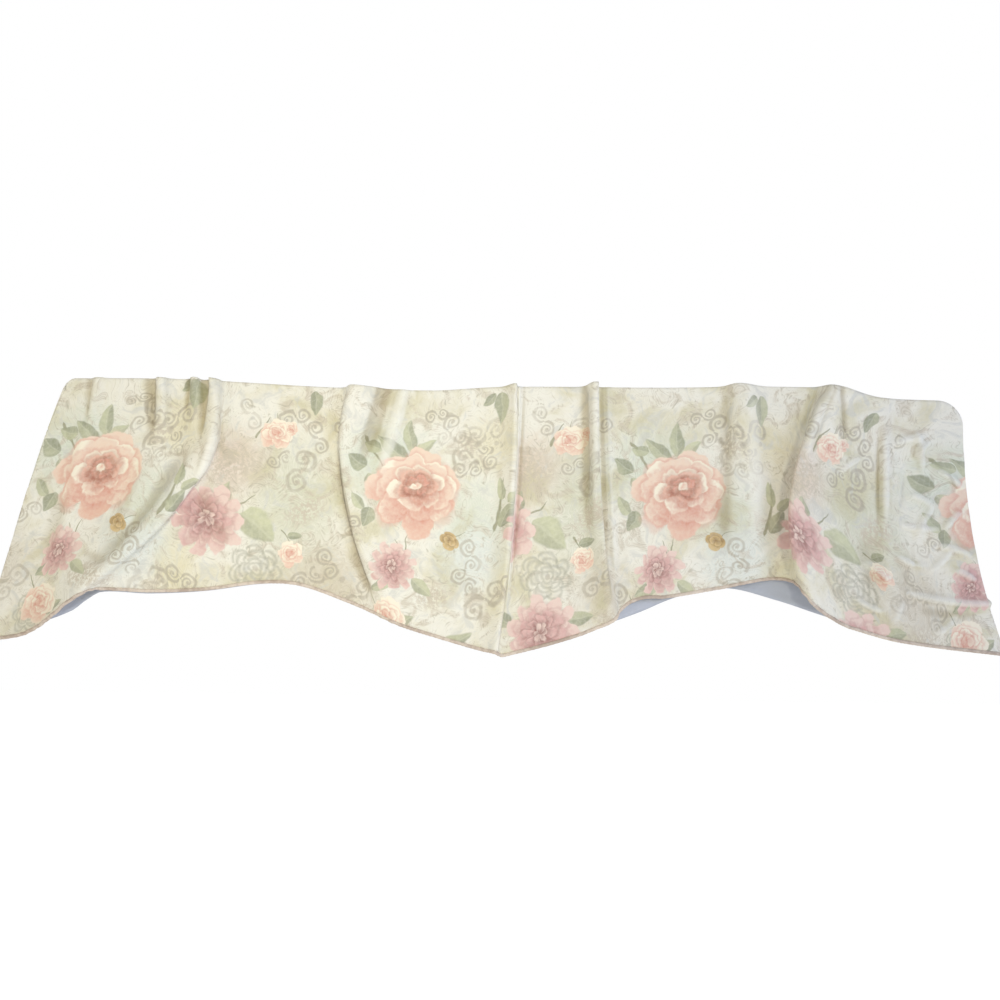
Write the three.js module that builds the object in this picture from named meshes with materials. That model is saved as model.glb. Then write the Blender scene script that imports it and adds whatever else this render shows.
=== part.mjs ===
// A lined window valance that hangs by its top edge. The printed face cloth falls in soft, uneven folds.
// Its hem is cut as two arches with a point between them and a longer tail at each end, and is edged
// with a narrow piping. A plain lining hangs behind the face and shows a little below the hem.
// Millimetres. X runs along the valance, Y from the face to the back, Z up.
// The origin is the middle of the top edge.
import * as THREE from "three";

// Thickness of the cloths, and the clearances between the pieces
const faceThickness = 1.4;
const liningThickness = 1.0;
const pipingRadius = 2.3;
const pipingGap = 0.9;
const liningGap = { top: 2.4, hem: 6.5 };

// Outline of the hung cloth
const leftEdge = { top: -567, hem: -666, curve: 0.84 };
const rightEdge = { top: 600, hem: 656, curve: 2 };
const cornerRadius = { left: 14, right: 34 };
const tip = 6;
const liningInset = 5;
const liningBelowTop = 3;

// How far the arches sway back and the point and tails sway forward at the hem
const sway = 11;
const archSpan = 650;

// How far the top edge stands above or below the level of the origin
const topLine = [
  { x: -570, rise: 3 },
  { x: -420, rise: 4 },
  { x: -220, rise: -4 },
  { x: -90, rise: -6 },
  { x: 0, rise: 0 },
  { x: 200, rise: 2 },
  { x: 410, rise: 5 },
  { x: 470, rise: -6 },
  { x: 595, rise: -10 },
];

// Cut of the face hem, from the left tail to the point and from the point to the right tail
const faceHemLeft = [
  { x: -668, drop: 336 },
  { x: -628, drop: 328 },
  { x: -612, drop: 315 },
  { x: -600, drop: 299 },
  { x: -588, drop: 283 },
  { x: -574, drop: 272 },
  { x: -558, drop: 268 },
  { x: -530, drop: 267 },
  { x: -495, drop: 268 },
  { x: -455, drop: 270 },
  { x: -385, drop: 267 },
  { x: -310, drop: 257 },
  { x: -260, drop: 259 },
  { x: -195, drop: 280 },
  { x: -100, drop: 316 },
  { x: tip, drop: 346 },
];
const faceHemRight = [
  { x: tip, drop: 346 },
  { x: 80, drop: 326 },
  { x: 130, drop: 307 },
  { x: 168, drop: 277 },
  { x: 190, drop: 269 },
  { x: 218, drop: 268 },
  { x: 286, drop: 256 },
  { x: 350, drop: 243 },
  { x: 390, drop: 245 },
  { x: 412, drop: 255 },
  { x: 445, drop: 289 },
  { x: 465, drop: 304 },
  { x: 520, drop: 320 },
  { x: 654, drop: 335 },
];

// Cut of the lining hem, which hangs lower than the face over the right arch
const liningHemLeft = [
  { x: -668, drop: 330 },
  { x: -600, drop: 316 },
  { x: -558, drop: 300 },
  { x: -540, drop: 286 },
  { x: -520, drop: 275 },
  { x: -455, drop: 276 },
  { x: -385, drop: 272 },
  { x: -310, drop: 262 },
  { x: -260, drop: 264 },
  { x: -195, drop: 285 },
  { x: -100, drop: 320 },
  { x: tip, drop: 351 },
];
const liningHemRight = [
  { x: tip, drop: 351 },
  { x: 80, drop: 330 },
  { x: 130, drop: 311 },
  { x: 182, drop: 292 },
  { x: 234, drop: 271 },
  { x: 300, drop: 259 },
  { x: 364, drop: 273 },
  { x: 435, drop: 295 },
  { x: 520, drop: 314 },
  { x: 654, drop: 329 },
];

// Folds of the face cloth from left to right. The crest runs from topX to hemX, on a straight line where
// bend is 1 and swinging out low down where it is more. reach is the half width of the fold, stand how far
// the crest comes forward and roll how far it leans over to the side, each at the top, middle and hem.
// lift is how far the fold raises the top edge.
const faceFolds = [
  {
    name: "tail tuck", topX: -523, hemX: -596, bend: 1,
    reach: [9, 15, 22], stand: [7, 4, 4], roll: [0, 0, 0], lift: 1,
  },
  {
    name: "tail pleat", topX: -446, hemX: -500, bend: 2,
    reach: [10, 20, 26], stand: [12, 7, 3], roll: [3, 1, 0], lift: 1,
  },
  {
    name: "narrow pleat", topX: -400, hemX: -440, bend: 2,
    reach: [8, 14, 20], stand: [9, 4, 0], roll: [2, 0, 0], lift: 3,
  },
  {
    name: "tail ridge", topX: -375, hemX: -578, bend: 1.68,
    reach: [10, 25, 44], stand: [13, 24, 30], roll: [-3, 40, 42], lift: 3,
  },
  {
    name: "left fold", topX: -168, hemX: -128, bend: 1.6,
    reach: [24, 30, 34], stand: [22, 15, 6], roll: [-20, -43, -4], lift: 4,
  },
  {
    name: "centre pleat", topX: 10, hemX: -11, bend: 1.8,
    reach: [6, 7, 8], stand: [10, 11, 11], roll: [7, 8, 9], lift: 4,
  },
  {
    name: "right pleat", topX: 113, hemX: 142, bend: 2,
    reach: [8, 9, 11], stand: [16, 17, 10], roll: [9, 10, 6], lift: 6,
  },
  {
    name: "soft fold", topX: 312, hemX: 318, bend: 1,
    reach: [20, 26, 34], stand: [13, 12, 5], roll: [-6, -6, 0], lift: 4,
  },
  {
    name: "tail fold", topX: 452, hemX: 425, bend: 1,
    reach: [26, 31, 34], stand: [34, 42, 30], roll: [-20, -64, -25], lift: 9,
  },
  {
    name: "tail crease", topX: 498, hemX: 512, bend: 1,
    reach: [12, 15, 20], stand: [4, 10, 3], roll: [-2, -6, 0], lift: 0,
  },
];

// Lines that the columns of the face follow: the crests of the upright folds, a line beside the left
// tail and one down to the point
const guideFolds = ["left fold", "centre pleat", "right pleat", "tail fold"];
const tailLine = { name: "tail", topX: -372, hemX: -440, bend: 1.5 };
const pointLine = { name: "point", topX: 30, hemX: tip, bend: 1.8 };

// Soft folds of the lining, which stand out to the back
const liningFolds = [
  { name: "left tail", topX: -500, hemX: -540, bend: 1, reach: [40, 45, 50], stand: [3, 8, 12] },
  { name: "left arch", topX: -260, hemX: -290, bend: 1, reach: [50, 55, 60], stand: [2, 7, 10] },
  { name: "point", topX: -20, hemX: 10, bend: 1, reach: [40, 45, 50], stand: [3, 6, 9] },
  { name: "right arch", topX: 250, hemX: 285, bend: 1, reach: [45, 50, 60], stand: [2, 6, 11] },
  { name: "right tail", topX: 510, hemX: 545, bend: 1, reach: [40, 45, 50], stand: [3, 9, 12] },
];

// How finely the solids follow the cloth
const faceColumns = { left: 62, right: 46 };
const faceRows = 17;
const liningColumns = { left: 22, right: 22 };
const liningRows = 7;
const pipingSides = 8;
const rowCrowding = 1.45;
const turnWeight = 26;
const stationSamples = 900;

const mix = THREE.MathUtils.lerp;

// A smooth curve through rows that have an x and another named column
function smoothThrough(rows, column) {
  const slopeAt = (i) => {
    const before = rows[Math.max(i - 1, 0)];
    const after = rows[Math.min(i + 1, rows.length - 1)];
    return (after[column] - before[column]) / (after.x - before.x);
  };
  return (x) => {
    const last = rows.length - 2;
    const found = rows.findIndex((row, i) => i <= last && x < rows[i + 1].x);
    const i = found < 0 ? last : found;
    const span = rows[i + 1].x - rows[i].x;
    const t = THREE.MathUtils.clamp((x - rows[i].x) / span, 0, 1);
    const start = rows[i][column];
    const end = rows[i + 1][column];
    const t2 = t * t;
    const t3 = t2 * t;
    return (
      (2 * t3 - 3 * t2 + 1) * start +
      (t3 - 2 * t2 + t) * span * slopeAt(i) +
      (3 * t2 - 2 * t3) * end +
      (t3 - t2) * span * slopeAt(i + 1)
    );
  };
}

// A value given at the top, middle and hem, at any depth from 0 to 1
function atDepth([top, middle, hem], depth) {
  const low = (1 - depth) * (1 - 2 * depth) * top;
  const centre = 4 * depth * (1 - depth) * middle;
  const high = depth * (2 * depth - 1) * hem;
  return low + centre + high;
}

function crestAt(line, depth) {
  return mix(line.topX, line.hemX, depth ** line.bend);
}

// How near a place is to a fold's crest: 1 on the crest, falling to 0 beside the fold
function nearCrest(fold, x, depth) {
  const offset = (x - crestAt(fold, depth)) / atDepth(fold.reach, depth);
  return Math.exp(-offset * offset);
}

function edgeAt(edge, depth) {
  return mix(edge.top, edge.hem, depth ** edge.curve);
}

// How far a rounded top corner falls below the top line
function cornerFall(distance, radius) {
  const run = THREE.MathUtils.clamp(radius - distance, 0, radius);
  return radius - Math.sqrt(radius * radius - run * run);
}

function swayAt(x, depth) {
  return -sway * depth * depth * Math.cos((2 * Math.PI * x) / archSpan);
}

const topRise = smoothThrough(topLine, "rise");

function topAt(x, inset) {
  const left = cornerFall(x - leftEdge.top - inset, cornerRadius.left);
  const right = cornerFall(rightEdge.top - inset - x, cornerRadius.right);
  return topRise(x) - left - right;
}

function hemCut(leftRows, rightRows) {
  const left = smoothThrough(leftRows, "drop");
  const right = smoothThrough(rightRows, "drop");
  return (x) => (x < tip ? left(x) : right(x));
}

// The share of the width at which a guide line passes half way down
function guideShare(line) {
  const left = edgeAt(leftEdge, 0.5);
  const right = edgeAt(rightEdge, 0.5);
  return (crestAt(line, 0.5) - left) / (right - left);
}

const guides = [tailLine, pointLine, ...faceFolds.filter((fold) => guideFolds.includes(fold.name))];
guides.sort((a, b) => a.topX - b.topX);

// Places across the cloths, as X at that depth before the folds move it. Across runs from 0 at the left
// edge to 1 at the right one.
function faceSpread(across, depth) {
  const rows = [
    { x: 0, place: edgeAt(leftEdge, depth) },
    ...guides.map((line) => ({ x: guideShare(line), place: crestAt(line, depth) })),
    { x: 1, place: edgeAt(rightEdge, depth) },
  ];
  return smoothThrough(rows, "place")(across);
}

function liningSpread(across, depth) {
  return mix(edgeAt(leftEdge, depth) + liningInset, edgeAt(rightEdge, depth) - liningInset, across);
}

const faceHem = hemCut(faceHemLeft, faceHemRight);
const liningHem = hemCut(liningHemLeft, liningHemRight);

function facePoint(across, depth) {
  const flat = faceSpread(across, depth);
  const top = topAt(faceSpread(across, 0), 0);
  const hem = -faceHem(faceSpread(across, 1));
  const point = new THREE.Vector3(flat, swayAt(flat, depth), mix(top, hem, depth));
  for (const fold of faceFolds) {
    const near = nearCrest(fold, flat, depth);
    point.x += atDepth(fold.roll, depth) * near;
    point.y -= atDepth(fold.stand, depth) * near;
    point.z += fold.lift * near * (1 - depth) ** 2;
  }
  return point;
}

function liningPoint(across, depth) {
  const flat = liningSpread(across, depth);
  const top = topAt(liningSpread(across, 0), liningInset) - liningBelowTop;
  const hem = -liningHem(liningSpread(across, 1));
  const behind = mix(liningGap.top, liningGap.hem, depth);
  const point = new THREE.Vector3(flat, swayAt(flat, depth) + behind, mix(top, hem, depth));
  for (const fold of liningFolds) {
    point.y += atDepth(fold.stand, depth) * nearCrest(fold, flat, depth);
  }
  return point;
}

// The direction out of the back of a cloth
function backNormal(surface, across, depth) {
  const step = 0.0005;
  const left = surface(Math.max(across - step, 0), depth);
  const right = surface(Math.min(across + step, 1), depth);
  const above = surface(across, Math.max(depth - step, 0));
  const below = surface(across, Math.min(depth + step, 1));
  return right.sub(left).cross(below.sub(above)).normalize();
}

// Places across the cloth between two ends, closer together where the folds turn
function stationsBetween(surface, start, end, count) {
  const depths = [0.02, 0.3, 0.6, 0.8, 0.98];
  const effort = [0];
  for (let i = 1; i <= stationSamples; i += 1) {
    const at = (k) => mix(start, end, k / stationSamples);
    let sum = 0;
    for (const depth of depths) {
      const here = surface(at(i), depth).sub(surface(at(i - 1), depth));
      const next = surface(at(i + 1), depth).sub(surface(at(i), depth));
      sum += here.length() + turnWeight * here.angleTo(next);
    }
    effort.push(effort[i - 1] + sum);
  }
  const total = effort[stationSamples];
  const stations = [];
  for (let k = 0; k <= count; k += 1) {
    const target = total * (k / count);
    const i = Math.max(effort.findIndex((e) => e >= target), 1);
    const share = (target - effort[i - 1]) / (effort[i] - effort[i - 1]);
    stations.push(mix(start, end, (i - 1 + share) / stationSamples));
  }
  return stations;
}

// Stations over the whole width, with one on the point of the hem
function stationsAcross(surface, columns, point) {
  return [
    ...stationsBetween(surface, 0, point, columns.left),
    ...stationsBetween(surface, point, 1, columns.right).slice(1),
  ];
}

// Depth of a row, closer together toward the hem
function rowDepth(row, rows) {
  return 1 - (1 - row / rows) ** rowCrowding;
}

// A closed thin solid on both sides of a surface, given as a grid of stations across and rows down
function clothSolid(surface, stations, rows, thickness) {
  const positions = [];
  const indices = [];
  const perColumn = rows + 1;
  const layer = stations.length * perColumn;
  for (const side of [-1, 1]) {
    for (const across of stations) {
      for (let row = 0; row <= rows; row += 1) {
        const depth = rowDepth(row, rows);
        const normal = backNormal(surface, across, depth);
        const point = surface(across, depth).addScaledVector(normal, (side * thickness) / 2);
        positions.push(point.x, point.y, point.z);
      }
    }
  }
  const quad = (a, b, c, d) => indices.push(a, b, c, a, c, d);
  const front = (column, row) => column * perColumn + row;
  const back = (column, row) => layer + front(column, row);
  const lastColumn = stations.length - 1;
  for (let column = 0; column < lastColumn; column += 1) {
    for (let row = 0; row < rows; row += 1) {
      quad(front(column, row + 1), front(column + 1, row + 1), front(column + 1, row), front(column, row));
      quad(back(column + 1, row), back(column + 1, row + 1), back(column, row + 1), back(column, row));
    }
    quad(front(column, 0), front(column + 1, 0), back(column + 1, 0), back(column, 0));
    quad(front(column, rows), back(column, rows), back(column + 1, rows), front(column + 1, rows));
  }
  for (let row = 0; row < rows; row += 1) {
    quad(front(0, row), back(0, row), back(0, row + 1), front(0, row + 1));
    const right = lastColumn;
    quad(front(right, row), front(right, row + 1), back(right, row + 1), back(right, row));
  }
  const geometry = new THREE.BufferGeometry();
  geometry.setAttribute("position", new THREE.Float32BufferAttribute(positions, 3));
  geometry.setIndex(indices);
  geometry.computeVertexNormals();
  return geometry;
}

// A curve that is divided at the points it was made from, not at equal lengths
class StationCurve extends THREE.CatmullRomCurve3 {
  getPointAt(share, target) {
    return this.getPoint(share, target);
  }

  getTangentAt(share, target) {
    return this.getTangent(share, target);
  }
}

// The line of the piping: along the face hem and just clear of it, in the plane of the cloth
function pipingLine(stations) {
  const points = stations.map((across) => {
    const step = 0.002;
    const hem = facePoint(across, 1);
    const left = facePoint(Math.max(across - step, 0), 1);
    const right = facePoint(Math.min(across + step, 1), 1);
    const outward = backNormal(facePoint, across, 1).cross(right.sub(left));
    return hem.addScaledVector(outward.normalize(), pipingRadius + pipingGap);
  });
  return new StationCurve(points);
}

function pipingSection() {
  const corners = [];
  for (let i = 0; i < pipingSides; i += 1) {
    const angle = (2 * Math.PI * i) / pipingSides;
    corners.push(new THREE.Vector2(pipingRadius * Math.cos(angle), pipingRadius * Math.sin(angle)));
  }
  return new THREE.Shape(corners);
}

function namedMesh(name, geometry, material) {
  const mesh = new THREE.Mesh(geometry, material);
  mesh.name = name;
  return mesh;
}

const printedCotton = new THREE.MeshStandardMaterial({ color: 0xe2dfc8, roughness: 0.85, metalness: 0 });
const liningCotton = new THREE.MeshStandardMaterial({ color: 0xcfd4de, roughness: 0.9, metalness: 0 });
const pipingCotton = new THREE.MeshStandardMaterial({ color: 0xc4b6a8, roughness: 0.85, metalness: 0 });

const facePointShare = guideShare(pointLine);
const liningPointShare = (tip - liningSpread(0, 1)) / (liningSpread(1, 1) - liningSpread(0, 1));
const faceStations = stationsAcross(facePoint, faceColumns, facePointShare);
const liningStations = stationsAcross(liningPoint, liningColumns, liningPointShare);
const pipingGeometry = new THREE.ExtrudeGeometry(pipingSection(), {
  steps: faceStations.length - 1,
  bevelEnabled: false,
  extrudePath: pipingLine(faceStations),
});

const valance = new THREE.Group();
valance.name = "window valance";
valance.add(
  namedMesh("face_cloth", clothSolid(facePoint, faceStations, faceRows, faceThickness), printedCotton),
  namedMesh("lining", clothSolid(liningPoint, liningStations, liningRows, liningThickness), liningCotton),
  namedMesh("hem_piping", pipingGeometry, pipingCotton),
);

export default valance;
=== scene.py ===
import bpy
import bmesh
import math
import numpy as np
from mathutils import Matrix, Vector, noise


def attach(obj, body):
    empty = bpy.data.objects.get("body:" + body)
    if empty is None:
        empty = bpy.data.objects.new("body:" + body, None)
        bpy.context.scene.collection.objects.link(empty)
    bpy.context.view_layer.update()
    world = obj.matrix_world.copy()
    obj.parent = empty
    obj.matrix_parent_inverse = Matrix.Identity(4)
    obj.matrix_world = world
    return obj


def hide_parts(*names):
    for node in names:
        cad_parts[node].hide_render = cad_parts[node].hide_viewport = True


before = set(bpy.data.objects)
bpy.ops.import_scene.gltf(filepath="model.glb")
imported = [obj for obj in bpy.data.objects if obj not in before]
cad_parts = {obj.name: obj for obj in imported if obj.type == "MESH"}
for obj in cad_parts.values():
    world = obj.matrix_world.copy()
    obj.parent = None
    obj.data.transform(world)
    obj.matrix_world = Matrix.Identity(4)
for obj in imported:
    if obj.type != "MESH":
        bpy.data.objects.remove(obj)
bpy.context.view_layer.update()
print("frame loaded, nodes:", sorted(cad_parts))

mm = 0.001

# the hang: the same cut and folds as the solids, in millimetres
hang = {
    "leftEdge": {"top": -567, "hem": -666, "curve": 0.84},
    "rightEdge": {"top": 600, "hem": 656, "curve": 2},
    "cornerLeft": 14,
    "cornerRight": 34,
    "tip": 6,
    "sway": 11,
    "archSpan": 650,
    "topLine": [  # x, rise
        (-570, 3), (-420, 4), (-220, -4), (-90, -6), (0, 0), (200, 2), (410, 5), (470, -6), (595, -10),
    ],
}


def smoothThrough(xs, ys, x):  # ys may change from point to point, so they are stacked on axis 0
    xs = np.asarray(xs, float)
    x = np.asarray(x, float)
    ys = np.stack([np.broadcast_to(np.asarray(y, float), x.shape) for y in ys])
    last = len(xs) - 1
    before = [max(i - 1, 0) for i in range(last + 1)]
    after = [min(i + 1, last) for i in range(last + 1)]
    runs = (xs[after] - xs[before]).reshape(-1, *[1] * x.ndim)
    slopes = (ys[after] - ys[before]) / runs
    i = np.clip(np.searchsorted(xs, x, side="right") - 1, 0, last - 1)
    span = xs[i + 1] - xs[i]
    t = np.clip((x - xs[i]) / span, 0, 1)
    pick = lambda table, k: np.take_along_axis(table, k[None], 0)[0]
    return (
        (2 * t**3 - 3 * t**2 + 1) * pick(ys, i)
        + (t**3 - 2 * t**2 + t) * span * pick(slopes, i)
        + (3 * t**2 - 2 * t**3) * pick(ys, i + 1)
        + (t**3 - t**2) * span * pick(slopes, i + 1)
    )


def alongRows(rows, x):
    return smoothThrough([r[0] for r in rows], [r[1] for r in rows], x)


def between(a, b, t):
    return a + (b - a) * t


def atDepth(values, depth):  # a value given at the top, middle and hem
    top, middle, hem = values
    nearTop = (1 - depth) * (1 - 2 * depth)
    nearMiddle = 4 * depth * (1 - depth)
    nearHem = depth * (2 * depth - 1)
    return nearTop * top + nearMiddle * middle + nearHem * hem


def crestAt(line, depth):
    return between(line["topX"], line["hemX"], depth ** line["bend"])


def nearCrest(fold, x, depth):
    return np.exp(-(((x - crestAt(fold, depth)) / atDepth(fold["reach"], depth)) ** 2))


def edgeAt(edge, depth):
    return between(edge["top"], edge["hem"], depth ** edge["curve"])


def cornerFall(distance, radius):
    run = np.clip(radius - distance, 0, radius)
    return radius - np.sqrt(radius**2 - run**2)


def swayAt(x, depth):
    return -hang["sway"] * depth**2 * np.cos(2 * np.pi * x / hang["archSpan"])


def topAt(x, inset):
    left = cornerFall(x - hang["leftEdge"]["top"] - inset, hang["cornerLeft"])
    right = cornerFall(hang["rightEdge"]["top"] - inset - x, hang["cornerRight"])
    return alongRows(hang["topLine"], x) - left - right


def hemAt(leftRows, rightRows, x):
    return np.where(x < hang["tip"], alongRows(leftRows, x), alongRows(rightRows, x))


# the camera stands level in front and leans a little, as the photo does
cameraView = {"distance": 1.8, "height": -0.147, "halfWidth": 0.65, "lean": -0.85, "sensor": 36}
cameraData = bpy.data.cameras.new("frontCamera")
cameraData.sensor_width = cameraView["sensor"]
cameraData.lens = cameraView["sensor"] / 2 * cameraView["distance"] / cameraView["halfWidth"]
camera = bpy.data.objects.new("frontCamera", cameraData)
camera.location = (0, -cameraView["distance"], cameraView["height"])
camera.rotation_euler = (math.radians(90), math.radians(cameraView["lean"]), 0)
bpy.context.scene.collection.objects.link(camera)
bpy.context.scene.camera = camera
print("camera placed")

# face cloth: folds from left to right, then the creases that only show close up
faceCloth = {
    "columns": 440,
    "rows": 108,
    "crowding": 1.12,
    "thickness": 1.4,
    "turnWeight": 16,
    "hemLeft": [  # x, drop
        (-668, 336), (-628, 328), (-612, 315), (-600, 299), (-588, 283), (-574, 272), (-558, 268),
        (-530, 267), (-495, 268), (-455, 270), (-385, 267), (-310, 257), (-260, 259), (-195, 280),
        (-100, 316), (6, 346),
    ],
    "hemRight": [
        (6, 346), (80, 326), (130, 307), (168, 277), (190, 269), (218, 268), (286, 256), (350, 243),
        (390, 245), (412, 255), (445, 289), (465, 304), (520, 320), (654, 335),
    ],
    # each line from the top to the hem, then sizes at the top, middle and hem
    "folds": {
        "tail tuck": dict(
            topX=-523, hemX=-596, bend=1, lift=1,
            reach=(9, 15, 22), stand=(7, 4, 4), roll=(0, 0, 0),
        ),
        "tail pleat": dict(
            topX=-446, hemX=-500, bend=2, lift=1,
            reach=(10, 20, 26), stand=(12, 7, 3), roll=(3, 1, 0),
        ),
        "narrow pleat": dict(
            topX=-400, hemX=-440, bend=2, lift=3,
            reach=(8, 14, 20), stand=(9, 4, 0), roll=(2, 0, 0),
        ),
        "tail ridge": dict(
            topX=-375, hemX=-578, bend=1.68, lift=3,
            reach=(10, 25, 44), stand=(13, 24, 30), roll=(-3, 40, 42),
        ),
        "left fold": dict(
            topX=-168, hemX=-128, bend=1.6, lift=4,
            reach=(24, 30, 34), stand=(22, 15, 6), roll=(-20, -43, -4),
        ),
        "centre pleat": dict(
            topX=10, hemX=-11, bend=1.8, lift=4,
            reach=(6, 7, 8), stand=(10, 11, 11), roll=(7, 8, 9),
        ),
        "right pleat": dict(
            topX=113, hemX=142, bend=2, lift=6,
            reach=(8, 9, 11), stand=(16, 17, 10), roll=(9, 10, 6),
        ),
        "soft fold": dict(
            topX=312, hemX=318, bend=1, lift=4,
            reach=(20, 26, 34), stand=(13, 12, 5), roll=(-6, -6, 0),
        ),
        "tail fold": dict(
            topX=452, hemX=425, bend=1, lift=9,
            reach=(26, 31, 34), stand=(34, 42, 30), roll=(-20, -64, -25),
        ),
        "tail crease": dict(
            topX=498, hemX=512, bend=1, lift=0,
            reach=(12, 15, 20), stand=(4, 10, 3), roll=(-2, -6, 0),
        ),
    },
    "guides": ["left fold", "centre pleat", "right pleat", "tail fold"],
    "tailLine": dict(topX=-372, hemX=-440, bend=1.5),
    "pointLine": dict(topX=30, hemX=6, bend=1.8),
    # from and to in x and z, bow sideways, half width, and how far it stands forward
    "creases": {
        "pleat foot left": ((-458, 46), (-453, -86), 0, 8, -8.5),
        "tail tuck line": ((-535, 46), (-541, -72), 0, 4.5, -4.6),
        "pleat crest left": ((-440, 40), (-437, -84), 0, 4.5, 3.0),
        "narrow pleat line": ((-406, 44), (-410, -52), 0, 4, -5.5),
        "strip shade": ((-384, 48), (-387, -86), 0, 5.5, -9.5),
        "strip ridge": ((-371, 50), (-414, -170), 24, 4.5, 5.0),
        "strip far side": ((-363, 44), (-367, -108), 2, 4, -6.0),
        "loop trough": ((-142, 38), (-184, -112), 4, 10, -10.0),
        "loop ridge": ((-121, 38), (-162, -126), 5, 8, 9.0),
        "pleat shade": ((105, 66), (112, -210), 0, 6, -6.0),
        "soft fold line": ((285, 50), (291, -210), 3, 9, -4.0),
        "soft fold crest": ((318, 46), (333, -244), 3, 13, 5.0),
        "tail fold edge": ((431, 26), (386, -118), -8, 6, 4.6),
        "tail short crease": ((431, 40), (447, -84), 0, 5, -5.5),
        "tail line": ((489, -26), (491, -200), -2, 4, -5.2),
        "tail line light": ((498, -32), (500, -192), -2, 4.5, 6.0),
        "tail hem crease": ((508, -252), (662, -270), -9, 4.5, 8.5),
        "tail hem trough": ((524, -274), (642, -286), -7, 8, -4.4),
        "tail slant": ((509, -308), (527, -262), 0, 6, 4.6),
        "tail soft trough": ((462, -170), (486, -280), 5, 17, -4.0),
        "left tail slant": ((-452, -96), (-508, -214), 8, 11, 3.6),
        "left tail trough": ((-560, -120), (-600, -250), 4, 15, -3.6),
        "left tail drag": ((-556, -206), (-486, -236), -5, 6, -3.0),
        "left arch trough": ((-400, -110), (-340, -232), -6, 16, -3.8),
        "left arch drag": ((-436, -206), (-316, -160), 6, 7, 2.6),
        "left arch drag low": ((-420, -244), (-330, -212), 5, 6, 2.6),
        "fold foot": ((-196, -176), (-126, -282), -5, 6, 3.0),
        "fold foot shade": ((-206, -196), (-150, -284), -5, 6, -3.2),
        "fold edge shade": ((-217, -40), (-160, -296), -10, 5, -6.5),
        "right arch drag": ((330, -226), (378, -186), 4, 6, 3.4),
        "right arch soft": ((270, -120), (296, -240), 6, 15, -3.2),
        "point slant": ((-92, -240), (-38, -318), 5, 11, 2.8),
        "ridge shade": ((-382, -40), (-556, -268), 15, 13, -5.0),
        "ridge lip": ((-368, -50), (-548, -276), 16, 5, 3.4),
        "centre pleat line": ((24.5, 95), (3, -372), 4.5, 4, 6.0),
        "right pleat line": ((135, 95), (156, -330), -3, 4.2, 4.6),
        "right pleat strip": ((118, 60), (125, -240), 0, 4.5, 3.2),
        "tail facet": ((440, 34), (392, -106), -6, 6, -4.6),
        "pleat foot": ((58, -236), (120, -292), -4, 9, 2.8),
        "right pleat shadow": ((128, 80), (151, -316), -3, 4, -6.4),
        "centre pleat shadow": ((30.5, 90), (9, -350), 4, 4, -5.6),
    },
    "crinkleWidth": 4,
    "crinkles": {  # how far they stand forward: from, to and bow of each short one on the right tail
        7.2: [
            ((556, -96), (604, -128), 4), ((570, -140), (540, -196), -5), ((590, -196), (552, -236), 4),
            ((508, -208), (560, -226), -4), ((596, -284), (560, -316), 4), ((536, -40), (548, -112), 3),
            ((560, -60), (536, -88), -3), ((524, -132), (566, -150), 4), ((604, -150), (574, -184), -4),
            ((470, -220), (512, -252), 4), ((584, -228), (622, -246), 3), ((430, -110), (470, -84), 4),
            ((500, -70), (556, -58), 3), ((508, -168), (580, -176), -4), ((560, -196), (620, -216), 4),
            ((456, -262), (508, -286), -4),
        ],
        -3.2: [((524, -96), (516, -164), 3), ((536, -180), (548, -244), -4)],
    },
    "creaseFade": 0.36,  # the share of a crease over which each end dies away
    # a line between two folds, its place on the print at the top and hem, and what hides cloth before it:
    # the fold, how far beside its crest, half width, and its share of the hidden cloth
    "panels": [
        dict(topX=-545, hemX=-650, cloth=(-54, -92), tucks=[]),
        dict(topX=-300, hemX=-300, cloth=(252, 252), tucks=[("tail ridge", 25, 16, 1)]),
        dict(topX=-60, hemX=-60, cloth=(508, 508), tucks=[("left fold", -22, 14, 1)]),
        dict(topX=65, hemX=65, cloth=(693, 693), tucks=[("centre pleat", 4.5, 3, 1)]),
        dict(topX=240, hemX=240, cloth=(919, 919), tucks=[("right pleat", 6, 3.5, 1)]),
        dict(
            topX=440, hemX=478, cloth=(1150, 1150),
            tucks=[("soft fold", 0, 34, 0.25), ("tail fold", -34, 28, 0.75)],
        ),
        dict(topX=590, hemX=600, cloth=(1329, 1329), tucks=[("tail crease", 52, 46, 1)]),
    ],
    "unevenness": [(120, 1.8, 3.1), (42, 0.9, 11.7), (17, 0.32, 23.9)],  # size, stand, seed
    "pucker": dict(pitch=15, stand=0.55, reach=11, wander=6.0, wanderSize=60, wanderSeed=5.5),
    "heading": dict(below=13, width=2.6, stand=-0.8),
    "mostBehind": 0.5,
    # how far a crease stands for its full painted highlight or painted shade
    "creaseShadingStand": 5.5,
    "flat": (1.48, 0.35),
    "flatArea": 0.41,
}
stationSampling = {"samples": 6001, "depths": (0.02, 0.3, 0.6, 0.8, 0.98)}
noiseStretch = (1, 0.3, 0.6)  # the cloth swells more slowly from front to back and from top to hem


def faceSpread(across, depth):
    half = np.float64(0.5)
    left, right = hang["leftEdge"], hang["rightEdge"]
    lines = [faceCloth["folds"][name] for name in faceCloth["guides"]]
    lines = sorted(lines + [faceCloth["tailLine"], faceCloth["pointLine"]], key=lambda f: f["topX"])
    width = edgeAt(right, half) - edgeAt(left, half)
    shares = [(crestAt(f, half) - edgeAt(left, half)) / width for f in lines]
    places = [edgeAt(left, depth)] + [crestAt(f, depth) for f in lines] + [edgeAt(right, depth)]
    return smoothThrough([0, *shares, 1], places, across)


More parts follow.
